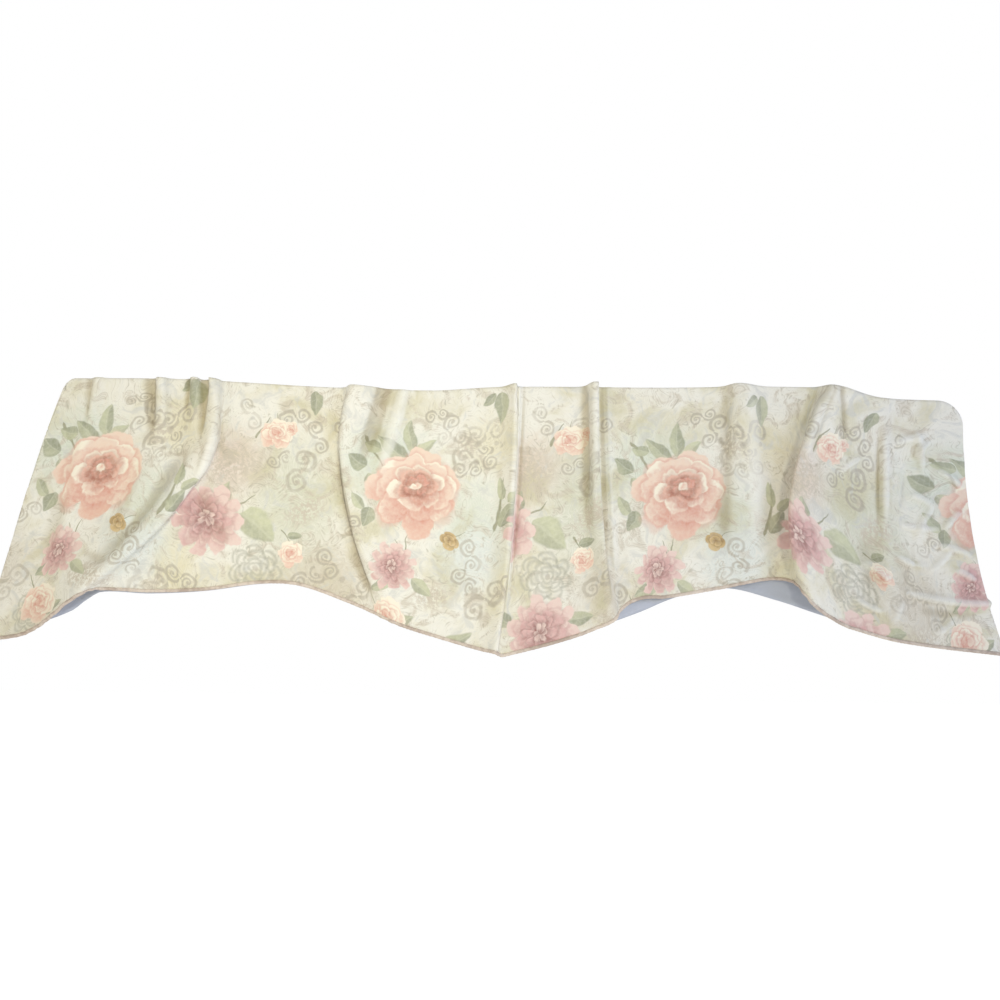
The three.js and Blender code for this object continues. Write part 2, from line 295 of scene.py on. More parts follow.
def faceHang(across, depth):  # the folded cloth in millimetres, with no creases yet
    flatX = faceSpread(across, depth)
    top = topAt(faceSpread(across, np.zeros_like(depth)), 0)
    hem = -hemAt(faceCloth["hemLeft"], faceCloth["hemRight"], faceSpread(across, np.ones_like(depth)))
    x, y, z = flatX.copy(), swayAt(flatX, depth), between(top, hem, depth)
    for fold in faceCloth["folds"].values():
        near = nearCrest(fold, flatX, depth)
        x = x + atDepth(fold["roll"], depth) * near
        y = y - atDepth(fold["stand"], depth) * near
        z = z + fold["lift"] * near * (1 - depth) ** 2
    return np.stack([x, y, z], -1)


def foldStations(surface, count, turnWeight):  # columns stand closer together where the cloth turns
    samples = np.linspace(0, 1, stationSampling["samples"])
    effort = np.zeros(len(samples) - 2)
    for depth in stationSampling["depths"]:
        steps = np.diff(surface(samples, np.full_like(samples, depth)), axis=0)
        lengths = np.linalg.norm(steps, axis=1)
        cosines = np.sum(steps[1:] * steps[:-1], axis=1) / (lengths[1:] * lengths[:-1])
        effort += lengths[1:] + turnWeight * np.arccos(np.clip(cosines, -1, 1))
    total = np.concatenate([[0], np.cumsum(effort)])
    return np.interp(np.linspace(0, total[-1], count + 1), total, np.linspace(0, 1, len(total)))


def gridOf(surface, piece):  # points of a cloth as an array of columns by rows
    stations = foldStations(surface, piece["columns"], piece["turnWeight"])
    depths = 1 - (1 - np.linspace(0, 1, piece["rows"] + 1)) ** piece["crowding"]
    across, depth = np.meshgrid(stations, depths, indexing="ij")
    return across, depth, surface(across, depth)


def backNormals(points):
    down = np.gradient(points, axis=1)
    along = np.gradient(points, axis=0)
    normals = np.cross(along, down)
    return normals / np.linalg.norm(normals, axis=-1, keepdims=True)


def creaseStand(points, start, end, bow, width, stand):  # a soft ridge or trough along a bowed line
    start, end = np.array(start, float), np.array(end, float)
    run = end - start
    length = np.linalg.norm(run)
    side = np.array([-run[1], run[0]]) / length
    offset = points[..., [0, 2]] - start
    share = np.clip(offset @ run / length**2, 0, 1)
    middle = share[..., None] * run + (4 * share * (1 - share) * bow)[..., None] * side
    away = np.linalg.norm(offset - middle, axis=-1) / width
    fade = np.clip(np.minimum(share, 1 - share) / faceCloth["creaseFade"], 0, 1)
    return stand * np.exp(-(away**2)) * fade * fade * (3 - 2 * fade)


def softNoise(points, size, seed):
    flat = points.reshape(-1, 3) / size * noiseStretch
    values = [noise.noise(Vector((x, seed + y, z))) for x, y, z in flat]
    return np.array(values).reshape(points.shape[:-1])


def alongCloth(points):  # lengths across each row, and down from the line of the top edge
    steps = np.linalg.norm(np.diff(points, axis=0)[..., :2], axis=-1)
    along = np.concatenate([np.zeros_like(steps[:1]), np.cumsum(steps, axis=0)])
    drops = np.linalg.norm(np.diff(points, axis=1)[..., 1:], axis=-1)
    cutAway = alongRows(hang["topLine"], points[:, :1, 0]) - topAt(points[:, :1, 0], 0)
    return along, -np.concatenate([cutAway, cutAway + np.cumsum(drops, axis=1)], axis=1)


def onPrint(along, across, depth):  # even on each panel, while the folds hide what is left over
    flatX = faceSpread(across, depth)
    panels = faceCloth["panels"]
    shifts = []
    for panel in panels:
        line = between(panel["topX"], panel["hemX"], depth[0])
        reached = [np.interp(x, flatX[:, j], along[:, j]) for j, x in enumerate(line)]
        shifts.append(between(*panel["cloth"], depth[0]) - np.array(reached))
    place = along + shifts[0]
    for panel, before, after in zip(panels[1:], shifts, shifts[1:]):
        for name, beside, half, part in panel["tucks"]:
            crest = crestAt(faceCloth["folds"][name], depth)
            share = np.clip((flatX - crest - beside) / half / 2 + 0.5, 0, 1)
            place = place + part * (after - before) * share * share * (3 - 2 * share)
    return place


def meshObject(name, bm):
    mesh = bpy.data.meshes.new(name)
    bm.to_mesh(mesh)
    bm.free()
    obj = bpy.data.objects.new(name, mesh)
    bpy.context.scene.collection.objects.link(obj)
    return obj


# a grid moved onto the hang, with its flat map as UV and the painted highlight and shade of its creases as a
# point attribute
def clothMesh(name, piece, points, flatU, flatV, creaseShading=None):
    columns, rows = piece["columns"], piece["rows"]
    bm = bmesh.new()
    bmesh.ops.create_grid(bm, x_segments=columns, y_segments=rows, size=1)
    cloth = bm.loops.layers.uv.new("cloth")
    creaseShadingLayer = bm.verts.layers.float.new("creaseShading")
    place = {}
    for v in bm.verts:
        i, j = round((v.co.x + 1) / 2 * columns), round((1 - v.co.y) / 2 * rows)
        place[v] = (i, j)
        v.co = Vector(points[i, j]) * mm
        v[creaseShadingLayer] = 0 if creaseShading is None else creaseShading[i, j]
    for face in bm.faces:
        face.smooth = True
        for loop in face.loops:
            i, j = place[loop.vert]
            loop[cloth].uv = (flatU[i, j] * mm, flatV[i, j] * mm)
    obj = meshObject(name, bm)
    thickness = obj.modifiers.new("cloth thickness", "SOLIDIFY")
    thickness.thickness = piece["thickness"] * mm
    thickness.offset = 0
    return obj


faceAcross, faceDepth, facePoints = gridOf(faceHang, faceCloth)
faceBase = swayAt(facePoints[..., 0], faceDepth)
faceU, faceV = alongCloth(facePoints)
printU = onPrint(faceU, faceAcross, faceDepth)
creases = list(faceCloth["creases"].values())
for stand, lines in faceCloth["crinkles"].items():
    creases += [(*line, faceCloth["crinkleWidth"], stand) for line in lines]
raised = sum(creaseStand(facePoints, *crease) for crease in creases)
faceCreaseShading = np.clip(raised / faceCloth["creaseShadingStand"], -1, 1)  # ridges get a painted highlight and troughs a painted shade, by how far each crease stands
for size, stand, seed in faceCloth["unevenness"]:
    raised = raised + stand * softNoise(facePoints, size, seed)
pucker, heading = faceCloth["pucker"], faceCloth["heading"]
fromHem = faceV - faceV[:, -1:]
wander = pucker["wander"] * softNoise(facePoints * (1, 0, 0), pucker["wanderSize"], pucker["wanderSeed"])
ripple = np.sin(2 * np.pi * faceU / pucker["pitch"] + wander)
raised = raised + pucker["stand"] * ripple * np.exp(-fromHem / pucker["reach"])
raised = raised + heading["stand"] * np.exp(-(((-faceV - heading["below"]) / heading["width"]) ** 2))
facePoints = facePoints - raised[..., None] * backNormals(facePoints)
facePoints[..., 1] = np.minimum(facePoints[..., 1], faceBase + faceCloth["mostBehind"])
faceObject = clothMesh("faceCloth", faceCloth, facePoints, printU, faceV, faceCreaseShading)
print("face cloth:", len(faceObject.data.polygons), "faces, flat width", round(faceU.max()), "mm")

# lining: a plain sheet that hangs behind with a little fullness
liningCloth = {
    "columns": 170,
    "rows": 56,
    "crowding": 1.0,
    "thickness": 1.0,
    "turnWeight": 10,
    "inset": 5,
    "belowTop": 3,
    "gap": (2.4, 6.5),
    "hemLeft": [
        (-668, 330), (-600, 316), (-558, 300), (-540, 286), (-520, 275), (-455, 276), (-385, 272),
        (-310, 262), (-260, 264), (-195, 285), (-100, 320), (6, 351),
    ],
    "hemRight": [
        (6, 351), (80, 330), (130, 311), (182, 292), (234, 271), (300, 259), (364, 273), (435, 295),
        (520, 314), (654, 329),
    ],
    "folds": {
        "left tail": dict(topX=-500, hemX=-540, bend=1, reach=(40, 45, 50), stand=(3, 8, 12)),
        "left arch": dict(topX=-260, hemX=-290, bend=1, reach=(50, 55, 60), stand=(2, 7, 10)),
        "point": dict(topX=-20, hemX=10, bend=1, reach=(40, 45, 50), stand=(3, 6, 9)),
        "right arch": dict(topX=250, hemX=285, bend=1, reach=(45, 50, 60), stand=(2, 6, 11)),
        "right tail": dict(topX=510, hemX=545, bend=1, reach=(40, 45, 50), stand=(3, 9, 12)),
    },
    "unevenness": [(95, 2.2, 41.3), (30, 0.7, 57.1)],  # size, stand, seed
    "turnedHem": dict(depth=20, soft=3, stand=0.9),
    "flat": (1.32, 0.35),
    "flatArea": 0.358,
}


def liningHang(across, depth):
    inset = liningCloth["inset"]

    def spread(there):
        left = edgeAt(hang["leftEdge"], there) + inset
        return between(left, edgeAt(hang["rightEdge"], there) - inset, across)

    flatX = spread(depth)
    top = topAt(spread(np.zeros_like(depth)), inset) - liningCloth["belowTop"]
    hem = -hemAt(liningCloth["hemLeft"], liningCloth["hemRight"], spread(np.ones_like(depth)))
    y = swayAt(flatX, depth) + between(*liningCloth["gap"], depth)
    for fold in liningCloth["folds"].values():
        y = y + atDepth(fold["stand"], depth) * nearCrest(fold, flatX, depth)
    return np.stack([flatX, y, between(top, hem, depth)], -1)


liningPoints = gridOf(liningHang, liningCloth)[-1]
liningU, liningV = alongCloth(liningPoints)
for size, stand, seed in liningCloth["unevenness"]:
    liningPoints[..., 1] += np.abs(stand * softNoise(liningPoints, size, seed))  # only away from the face
turn = liningCloth["turnedHem"]
fromHem = liningV - liningV[:, -1:]
liningPoints[..., 1] += turn["stand"] * np.clip((turn["depth"] - fromHem) / turn["soft"], 0, 1)
liningObject = clothMesh("liningSheet", liningCloth, liningPoints, liningU, liningV)
print("lining:", len(liningObject.data.polygons), "faces")

# piping: a cord in a bias strip, sewn along the face hem
hemPiping = {
    "radius": 2.3,
    "sides": 14,
    "overlap": 0.35,
    "stepsEach": 2,
    "ruck": dict(pitch=5.5, stand=0.16, twist=2, drift=0.13, driftMost=3),
    "weld": 0.001,
}


def pipingObjectOn(points):
    ruck = hemPiping["ruck"]
    hem, above = points[:, -1], points[:, -3]
    count = (len(hem) - 1) * hemPiping["stepsEach"]
    smoothIndex = np.linspace(0, len(hem) - 1, count + 1)
    resample = lambda a: np.stack([np.interp(smoothIndex, np.arange(len(a)), a[:, k]) for k in range(3)], -1)
    hem, above = resample(hem), resample(above)
    along = np.gradient(hem, axis=0)
    along /= np.linalg.norm(along, axis=1, keepdims=True)
    out = hem - above
    out -= np.sum(out * along, axis=1, keepdims=True) * along
    out /= np.linalg.norm(out, axis=1, keepdims=True)
    side = np.cross(along, out)
    centre = hem + out * (hemPiping["radius"] - hemPiping["overlap"])
    length = np.concatenate([[0], np.cumsum(np.linalg.norm(np.diff(centre, axis=0), axis=1))])
    bm = bmesh.new()
    bmesh.ops.create_grid(bm, x_segments=count, y_segments=hemPiping["sides"], size=1)
    uv = bm.loops.layers.uv.new("cloth")
    place = {}
    for v in bm.verts:
        i, share = round((v.co.x + 1) / 2 * count), (v.co.y + 1) / 2
        turn = 2 * math.pi * share
        lean = ruck["twist"] * math.sin(turn)
        drift = ruck["drift"] * length[i] % ruck["driftMost"]
        ripple = math.sin(2 * math.pi * length[i] / ruck["pitch"] + lean + drift)
        radius = hemPiping["radius"] + ruck["stand"] * ripple
        v.co = Vector(centre[i] + radius * (math.cos(turn) * out[i] + math.sin(turn) * side[i])) * mm
        place[v] = (length[i] * mm, share * 2 * math.pi * hemPiping["radius"] * mm)
    for face in bm.faces:
        face.smooth = True
        for loop in face.loops:
            loop[uv].uv = place[loop.vert]
    bmesh.ops.remove_doubles(bm, verts=bm.verts, dist=hemPiping["weld"] * mm)
    bmesh.ops.holes_fill(bm, edges=[e for e in bm.edges if e.is_boundary], sides=0)
    bmesh.ops.recalc_face_normals(bm, faces=bm.faces)
    return meshObject("hemPiping", bm)


pipingObject = pipingObjectOn(facePoints)
print("piping:", len(pipingObject.data.polygons), "faces")


# node helpers
def addNode(tree, kind, **settings):
    node = tree.nodes.new(kind)
    for key, value in settings.items():
        setattr(node, key, value)
    return node


def feed(tree, socket, value):
    if isinstance(value, bpy.types.NodeSocket):
        tree.links.new(value, socket)
    elif value is not None:
        socket.default_value = value


def calc(tree, operation, *values):
    node = addNode(tree, "ShaderNodeMath", operation=operation)
    for socket, value in zip(node.inputs, values):
        feed(tree, socket, value)
    return node.outputs[0]


def remap(tree, value, low, high, toLow=0.0, toHigh=1.0, soft=True):  # held between its two ends
    shape = "SMOOTHSTEP" if soft else "LINEAR"
    node = addNode(tree, "ShaderNodeMapRange", interpolation_type=shape, clamp=False)
    for socket, given in zip(node.inputs, (value, low, high, toLow, toHigh)):
        feed(tree, socket, given)
    if soft:
        return node.outputs[0]
    lowest, highest = min(toLow, toHigh), max(toLow, toHigh)
    return calc(tree, "MINIMUM", calc(tree, "MAXIMUM", node.outputs[0], lowest), highest)


def mixColour(tree, share, under, over, blend="MIX"):
    node = addNode(tree, "ShaderNodeMix", data_type="RGBA", blend_type=blend)
    for index, value in ((0, share), (6, under), (7, over)):
        feed(tree, node.inputs[index], value)
    return node.outputs[2]


def cloudy(tree, vector, scale, detail=2.0, rough=0.5, warp=0.0):
    node = addNode(tree, "ShaderNodeTexNoise", noise_dimensions="2D")
    labels = ("Vector", "Scale", "Detail", "Roughness", "Distortion")
    for label, value in zip(labels, (vector, scale, detail, rough, warp)):
        feed(tree, node.inputs[label], value)
    return node.outputs["Fac"], node.outputs["Color"]


def vectorStep(tree, operation, *values):
    node = addNode(tree, "ShaderNodeVectorMath", operation=operation)
    for socket, value in zip(node.inputs, values):
        feed(tree, socket, value)
    return node.outputs["Value" if operation in ("LENGTH", "DOT_PRODUCT") else "Vector"]


def mixPlace(tree, share, under, over):
    node = addNode(tree, "ShaderNodeMix", data_type="VECTOR")
    for index, value in ((0, share), (4, under), (5, over)):
        feed(tree, node.inputs[index], value)
    return node.outputs[1]


markScale = 100  # a spot's mark rides as its third coordinate, too small to count in its reach


def partsOf(tree, vector):  # a spot's own x and y, and its mark
    axes = ((1, 0, 0), (0, 1, 0), (0, 0, markScale))
    return [vectorStep(tree, "DOT_PRODUCT", vector, axis) for axis in axes]


def newGroup(name, inputs, outputs):
    tree = bpy.data.node_groups.new(name, "ShaderNodeTree")
    kinds = {"value": "NodeSocketFloat", "colour": "NodeSocketColor", "vector": "NodeSocketVector"}
    for side, sockets in (("INPUT", inputs), ("OUTPUT", outputs)):
        for label, kind in sockets.items():
            tree.interface.new_socket(label, in_out=side, socket_type=kinds[kind])
    return tree, tree.nodes.new("NodeGroupInput").outputs, tree.nodes.new("NodeGroupOutput").inputs


def useGroup(tree, group, **values):
    node = addNode(tree, "ShaderNodeGroup", node_tree=group)
    for label, value in values.items():
        feed(tree, node.inputs[label], value)
    return node.outputs


def dye(red, green, blue):  # a colour as it looks on the cloth, made linear
    toLinear = lambda c: c / 12.92 if c <= 0.04045 else ((c + 0.055) / 1.055) ** 2.4
    return tuple(toLinear(c / 255) for c in (red, green, blue)) + (1.0,)


# print: drawn flowers, leaves and scrolls that repeat across the cloth
printRepeat = 0.457
shades = {
    "cream": (228, 222, 198), "ivory": (240, 237, 225), "mint wash": (214, 221, 204),
    "sage wash": (205, 207, 182), "straw wash": (226, 217, 180), "olive wash": (206, 200, 166),
    "taupe wash": (201, 189, 169), "grey wash": (206, 206, 200), "ice wash and painted cool light": (227, 232, 228),
    "blush wash": (221, 199, 185), "rose cream": (248, 239, 219), "rose pale": (240, 216, 196),
    "rose pink": (231, 188, 168), "rose salmon": (219, 160, 142), "rose deep": (186, 118, 102),
    "rose core": (142, 95, 72), "dusty pale": (236, 211, 200), "dusty pink": (222, 182, 176),
    "dusty": (200, 159, 152), "dusty deep": (158, 116, 110), "leaf pale": (208, 210, 174),
    "leaf dark": (150, 153, 128), "leaf vein": (219, 220, 194), "stem": (150, 148, 116),
    "bud brown": (215, 189, 140), "bud dark": (158, 128, 84), "scroll": (176, 167, 149),
    # the last two colours are a painted highlight and a painted shade for the creases
    "tracery": (178, 172, 152), "engraving": (170, 168, 150), "painted crease highlight": (246, 245, 236),
    "painted crease shade": (220, 214, 203),
}
dyes = {name: dye(*shade) for name, shade in shades.items()}


def spotGroup():  # a place on the repeat as its own turned and scaled coordinates
    tree, given, put = newGroup(
        "printSpot",
        {"Cloth": "vector", "Place": "vector", "Turn": "value", "Stretch": "vector", "Mark": "vector"},
        {"Spot": "vector", "Reach": "value"},
    )
    half, free = printRepeat / 2, 9  # wraps across, never up
    offset = vectorStep(tree, "SUBTRACT", given["Cloth"], given["Place"])
    offset = vectorStep(tree, "WRAP", offset, (half, free, free), (-half, -free, -free))
    turned = addNode(tree, "ShaderNodeVectorRotate", rotation_type="Z_AXIS")
    feed(tree, turned.inputs["Vector"], offset)
    feed(tree, turned.inputs["Angle"], given["Turn"])
    spot = vectorStep(tree, "MULTIPLY_ADD", turned.outputs[0], given["Stretch"], given["Mark"])
    feed(tree, put["Spot"], spot)
    feed(tree, put["Reach"], vectorStep(tree, "LENGTH", spot))
    return tree


def polar(tree, x, y):
    reach = calc(tree, "SQRT", calc(tree, "MULTIPLY_ADD", y, y, calc(tree, "MULTIPLY", x, x)))
    return reach, calc(tree, "DIVIDE", calc(tree, "ARCTAN2", y, x), 2 * math.pi)


# two numbers span an edge, four also give what it is worth at each end
petalLook = {
    "chance": (2.4, 17.0, 437.5), "gapPower": 3.0, "size": (0.16, 0.92), "shadow": (-0.12, 0.0),
    "toneSpread": 0.36, "toneSide": -0.5, "softEdge": (0.0, 0.05),
}


def petalGroup():  # one ring of overlapping petals round a centre
    tree, given, put = newGroup(
        "petalRing",
        {
            "Reach": "value", "Bearing": "value", "Shade": "value", "Outer": "value", "Inner": "value",
            "Petals": "value", "Phase": "value", "Notch": "value", "Throw": "value", "Deep": "colour",
            "Pale": "colour", "Under": "colour",
        },
        {"Colour": "colour"},
    )
    turns = calc(tree, "MULTIPLY_ADD", given["Bearing"], given["Petals"], given["Phase"])
    within = calc(tree, "FRACT", turns)
    petal = calc(tree, "FLOORED_MODULO", calc(tree, "FLOOR", turns), given["Petals"])
    perPetal, perRing, scatter = petalLook["chance"]  # each petal its own
    chance = calc(tree, "MULTIPLY_ADD", petal, perPetal, calc(tree, "MULTIPLY", given["Outer"], perRing))
    chance = calc(tree, "FRACT", calc(tree, "MULTIPLY", calc(tree, "SINE", chance), scatter))
    gap = calc(tree, "ABSOLUTE", calc(tree, "MULTIPLY_ADD", within, 2.0, -1.0))
    gap = calc(tree, "POWER", gap, petalLook["gapPower"])
    trim = calc(tree, "SUBTRACT", 1.0, calc(tree, "MULTIPLY", gap, given["Notch"]))
    size = calc(tree, "MULTIPLY_ADD", chance, *petalLook["size"])
    edge = calc(tree, "MULTIPLY", calc(tree, "MULTIPLY", given["Outer"], trim), size)
    inside = calc(tree, "SUBTRACT", edge, given["Reach"])
    shadow = remap(tree, inside, *petalLook["shadow"], 0.0, given["Throw"])
    under = mixColour(tree, shadow, given["Under"], given["Deep"])
    outward = calc(tree, "SUBTRACT", given["Reach"], given["Inner"])
    tone = calc(tree, "DIVIDE", outward, calc(tree, "SUBTRACT", edge, given["Inner"]))
    tone = calc(tree, "MULTIPLY_ADD", chance, petalLook["toneSpread"], tone)
    tone = calc(tree, "MULTIPLY_ADD", within, petalLook["toneSide"], tone)
    colour = mixColour(tree, calc(tree, "ADD", tone, given["Shade"]), given["Deep"], given["Pale"])
    feed(tree, put["Colour"], mixColour(tree, remap(tree, inside, *petalLook["softEdge"]), under, colour))
    return tree


leafLook = {
    "curve": -0.12, "taperPower": 0.75, "width": (-0.34, 0.95), "softEdge": (-0.05, 0.2),
    "rib": (0.02, 0.13, 0.34, 0.0), "veinRates": (15.0, 7.0), "veins": (0.6, 1.0, 0.0, 0.14),
    "halves": (-0.3, 0.3, 0.42, 0.86), "wash": (0.9, -0.3), "darkness": -0.72, "rim": (0.05, 0.3, -0.12, 0.0),
}


def bluntTaper(tree, x):  # 1 in the middle and 0 at both ends
    return calc(tree, "MAXIMUM", calc(tree, "SUBTRACT", 1.0, calc(tree, "MULTIPLY", x, x)), 0.0)


def leafGroup():  # a pointed leaf from -1 at the stem to 1 at the tip
    tree, given, put = newGroup(
        "printLeaf",
        {
            "Spot": "vector", "Wash": "value", "Strength": "value", "Dark": "colour", "Light": "colour",
            "Vein": "colour", "Under": "colour",
        },
        {"Colour": "colour"},
    )
    x, y, darkness = partsOf(tree, given["Spot"])
    taper = bluntTaper(tree, x)
    y = calc(tree, "MULTIPLY_ADD", taper, leafLook["curve"], y)
    away = calc(tree, "ABSOLUTE", y)
    width = calc(tree, "MULTIPLY_ADD", x, *leafLook["width"])
    half = calc(tree, "MULTIPLY", calc(tree, "POWER", taper, leafLook["taperPower"]), width)
    inside = calc(tree, "SUBTRACT", half, away)
    cover = remap(tree, inside, *leafLook["softEdge"])
    rib = remap(tree, away, *leafLook["rib"])
    along, aside = leafLook["veinRates"]
    slant = calc(tree, "SUBTRACT", calc(tree, "MULTIPLY", x, along), calc(tree, "MULTIPLY", away, aside))
    veins = remap(tree, calc(tree, "SINE", slant), *leafLook["veins"])
    wash = calc(tree, "MULTIPLY_ADD", given["Wash"], *leafLook["wash"])
    tone = calc(tree, "ADD", remap(tree, y, *leafLook["halves"]), wash)
    tone = calc(tree, "MULTIPLY_ADD", darkness, leafLook["darkness"], tone)
    tone = calc(tree, "ADD", tone, remap(tree, inside, *leafLook["rim"]))  # pigment settles at the rim
    colour = mixColour(tree, tone, given["Dark"], given["Light"])
    colour = mixColour(tree, calc(tree, "MAXIMUM", rib, veins), colour, given["Vein"])
    cover = calc(tree, "MULTIPLY", cover, given["Strength"])
    feed(tree, put["Colour"], mixColour(tree, cover, given["Under"], colour))
    return tree


scrollLook = {
    "apart": 0.5, "winds": 4.0, "swell": (2.2, 0.35), "softEdge": (-0.15, 0.16), "mostTurns": 2.0,
    "eye": (0.05, 0.12, 1.0, 0.0),
}


def scrollGroup():  # an S of two curls, each wound in to an eye
    tree, given, put = newGroup(
        "printScroll",
        {"Spot": "vector", "Weight": "value", "Strength": "value", "Ink": "colour", "Under": "colour"},
        {"Colour": "colour"},
    )
    x, y, hand = partsOf(tree, given["Spot"])
    y = calc(tree, "MULTIPLY", calc(tree, "MULTIPLY", y, calc(tree, "SIGN", x)), hand)
    x = calc(tree, "SUBTRACT", calc(tree, "ABSOLUTE", x), scrollLook["apart"])
    reach, bearing = polar(tree, x, y)
    wound = calc(tree, "SUBTRACT", calc(tree, "MULTIPLY", reach, scrollLook["winds"]), bearing)
    away = calc(tree, "ABSOLUTE", calc(tree, "SUBTRACT", calc(tree, "FRACT", wound), 0.5))
    weight = calc(tree, "MULTIPLY", given["Weight"], calc(tree, "MULTIPLY_ADD", reach, *scrollLook["swell"]))
    line = remap(tree, calc(tree, "SUBTRACT", weight, away), *scrollLook["softEdge"])
    line = calc(tree, "MULTIPLY", line, calc(tree, "LESS_THAN", wound, scrollLook["mostTurns"]))
    eye = remap(tree, reach, *scrollLook["eye"])
    share = calc(tree, "MULTIPLY", calc(tree, "MAXIMUM", line, eye), given["Strength"])
    feed(tree, put["Colour"], mixColour(tree, share, given["Under"], given["Ink"]))
    return tree


engravedLook = {"scallop": -0.2, "lean": (0.16, 0.9)}


def petalLineGroup():  # the drawn edge of a ring of petals
    tree, given, put = newGroup(
        "petalLine",
        {
            "Reach": "value", "Bearing": "value", "Outer": "value", "Petals": "value", "Phase": "value",
            "Weight": "value", "Strength": "value", "Ink": "colour", "Under": "colour",
        },
        {"Colour": "colour"},
    )
    turns = calc(tree, "MULTIPLY_ADD", given["Bearing"], given["Petals"], given["Phase"])
    within = calc(tree, "FRACT", turns)
    gap = calc(tree, "MULTIPLY_ADD", within, 2.0, -1.0)
    edge = calc(tree, "MULTIPLY_ADD", calc(tree, "MULTIPLY", gap, gap), engravedLook["scallop"], 1.0)
    lean = calc(tree, "MULTIPLY_ADD", within, *engravedLook["lean"])
    edge = calc(tree, "MULTIPLY", calc(tree, "MULTIPLY", edge, given["Outer"]), lean)
    line = calc(tree, "ABSOLUTE", calc(tree, "SUBTRACT", edge, given["Reach"]))
    line = remap(tree, line, 0.0, given["Weight"], given["Strength"], 0.0)
    feed(tree, put["Colour"], mixColour(tree, line, given["Under"], given["Ink"]))
    return tree


stemLook = {"width": (-0.03, 0.055), "blunt": 4.0, "softEdge": (-0.02, 0.03)}


def stemGroup():  # a thin bowed stroke, its bow carried as the mark
    tree, given, put = newGroup(
        "printStem",
        {"Spot": "vector", "Strength": "value", "Ink": "colour", "Under": "colour"},
        {"Colour": "colour"},
    )
    x, y, bow = partsOf(tree, given["Spot"])
    taper = bluntTaper(tree, x)
    away = calc(tree, "ABSOLUTE", calc(tree, "SUBTRACT", y, calc(tree, "MULTIPLY", bow, taper)))
    ends = calc(tree, "MINIMUM", calc(tree, "MULTIPLY", taper, stemLook["blunt"]), 1.0)
    width = calc(tree, "MULTIPLY", calc(tree, "MULTIPLY_ADD", x, *stemLook["width"]), ends)
    inside = calc(tree, "SUBTRACT", width, away)
    share = remap(tree, inside, *stemLook["softEdge"], 0.0, given["Strength"])
    share = calc(tree, "MULTIPLY", share, calc(tree, "GREATER_THAN", taper, 0.0))
    feed(tree, put["Colour"], mixColour(tree, share, given["Under"], given["Ink"]))
    return tree


weaveLook = {"slub": (900.0, 2.0), "crossing": 0.5, "heights": (-0.2, 1.2)}


def weaveGroup():  # crossed threads
    tree, given, put = newGroup(
        "clothWeave", {"Cloth": "vector", "Pitch": "value"}, {"Height": "value", "Tone": "value"}
    )
    parts = addNode(tree, "ShaderNodeSeparateXYZ")
    feed(tree, parts.inputs[0], given["Cloth"])
    rate = calc(tree, "DIVIDE", math.pi, given["Pitch"])
    warp = calc(tree, "SINE", calc(tree, "MULTIPLY", parts.outputs[0], rate))
    weft = calc(tree, "SINE", calc(tree, "MULTIPLY", parts.outputs[1], rate))
    over = calc(tree, "MULTIPLY", warp, weft)
    slub = cloudy(tree, given["Cloth"], *weaveLook["slub"])[0]
    height = calc(tree, "MULTIPLY_ADD", over, weaveLook["crossing"], slub)
    feed(tree, put["Height"], height)
    feed(tree, put["Tone"], remap(tree, height, *weaveLook["heights"], soft=False))
    return tree


spotOn, petalRing, printLeaf, printStem = spotGroup(), petalGroup(), leafGroup(), stemGroup()
printScroll, petalLine, clothWeave = scrollGroup(), petalLineGroup(), weaveGroup()

# rings of each kind of flower, outermost first: outer, inner, petals, phase, notch, deep, pale
flowerRings = {
    "cabbage rose": [
        (1.00, 0.45, 7, 0.10, 0.20, "rose pink", "rose pale"),
        (0.87, 0.40, 8, 0.45, 0.17, "rose salmon", "rose cream"),
        (0.73, 0.32, 6, 0.80, 0.20, "rose salmon", "rose pale"),
        (0.58, 0.24, 6, 0.25, 0.18, "rose salmon", "rose cream"),
        (0.42, 0.16, 5, 0.60, 0.22, "rose deep", "rose pink"),
        (0.27, 0.06, 4, 0.05, 0.24, "rose core", "rose salmon"),
        (0.13, 0.00, 2, 0.40, 0.22, "rose pink", "rose cream"),
    ],
    "dusty flower": [
        (1.00, 0.38, 11, 0.20, 0.32, "dusty pink", "dusty pale"),
        (0.82, 0.32, 10, 0.62, 0.34, "dusty", "dusty pale"),
        (0.64, 0.22, 9, 0.15, 0.34, "dusty", "dusty pink"),
        (0.45, 0.12, 8, 0.70, 0.36, "dusty deep", "dusty pink"),
        (0.25, 0.00, 6, 0.35, 0.36, "dusty deep", "dusty pale"),
    ],
    "rosebud": [
        (1.00, 0.42, 5, 0.30, 0.20, "rose pink", "rose cream"),
        (0.76, 0.30, 5, 0.70, 0.20, "rose pink", "rose cream"),
        (0.52, 0.18, 4, 0.15, 0.22, "rose salmon", "rose cream"),
        (0.28, 0.00, 3, 0.55, 0.22, "rose salmon", "rose pale"),
    ],
    "brown bud": [
        (1.00, 0.10, 4, 0.25, 0.18, "bud dark", "bud brown"),
        (0.60, 0.00, 3, 0.60, 0.20, "bud dark", "bud brown"),
    ],
}

